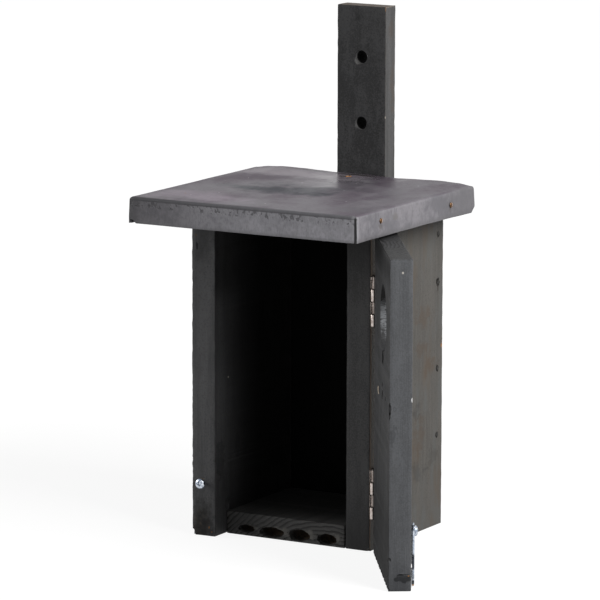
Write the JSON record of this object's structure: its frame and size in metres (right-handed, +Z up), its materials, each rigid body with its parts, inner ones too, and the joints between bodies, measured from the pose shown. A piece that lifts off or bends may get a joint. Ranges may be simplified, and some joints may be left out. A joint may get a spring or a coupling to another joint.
{
  "type": "bird nest box",
  "caption": "Small dark-stained wooden nest box with a flat sheet-covered roof, a side-hinged front door with a round entrance, a swinging hook latch and a drilled hanging batten.",
  "frame": {"origin": "axis of the upper hanging hole at the batten's rear face", "axes": "+Z up, the door's side faces -Y, +X to the hinge side when seen from the front"},
  "size_m": [0.2712, 0.2486, 0.42],
  "materials": {
    "stained_wood": "dark grey stain on sawn softwood, satin",
    "plain_wood": "unplaned board hidden under the sheet",
    "rubber_sheet": "grey rubber roofing sheet, dusty satin",
    "zinc": "bright zinc-plated steel",
    "nickel": "nickel-plated steel, slightly warm",
    "copper": "copper tacks"
  },
  "bodies": {
    "box": {"left_wall": "stained_wood", "right_wall": "stained_wood", "back_panel": "stained_wood", "floor_board": "stained_wood", "left_wall_nails": "zinc", "right_wall_nails": "zinc", "roof_board": "plain_wood", "roof_nails": "zinc", "roof_sheet": "rubber_sheet", "roof_tacks": "copper", "hanging_batten": "stained_wood", "batten_screws": "zinc", "upper_wall_leaf": "nickel", "upper_hinge_pin": "nickel", "lower_wall_leaf": "nickel", "lower_hinge_pin": "nickel", "wall_leaf_screws": "zinc", "striker_screw": "zinc"},
    "door": {"door_panel": "stained_wood", "upper_door_leaf": "nickel", "lower_door_leaf": "nickel", "door_leaf_screws": "zinc", "latch_washer": "zinc", "latch_pivot_screw": "zinc"},
    "hook": {"latch_hook": "zinc"}
  },
  "joints": [
    {"name": "door_hinge", "type": "hinge", "parent": "box", "child": "door", "pos_m": [0.0798, -0.13825, -0.2535], "axis": [0, 0, 1], "range_deg": [-124, 61]},
    {"name": "hook_pivot", "type": "hinge", "parent": "door", "child": "hook", "pos_m": [0.16247, -0.22398, -0.334], "axis": [-0.829, -0.5592, 0], "continuous": true}
  ]
}
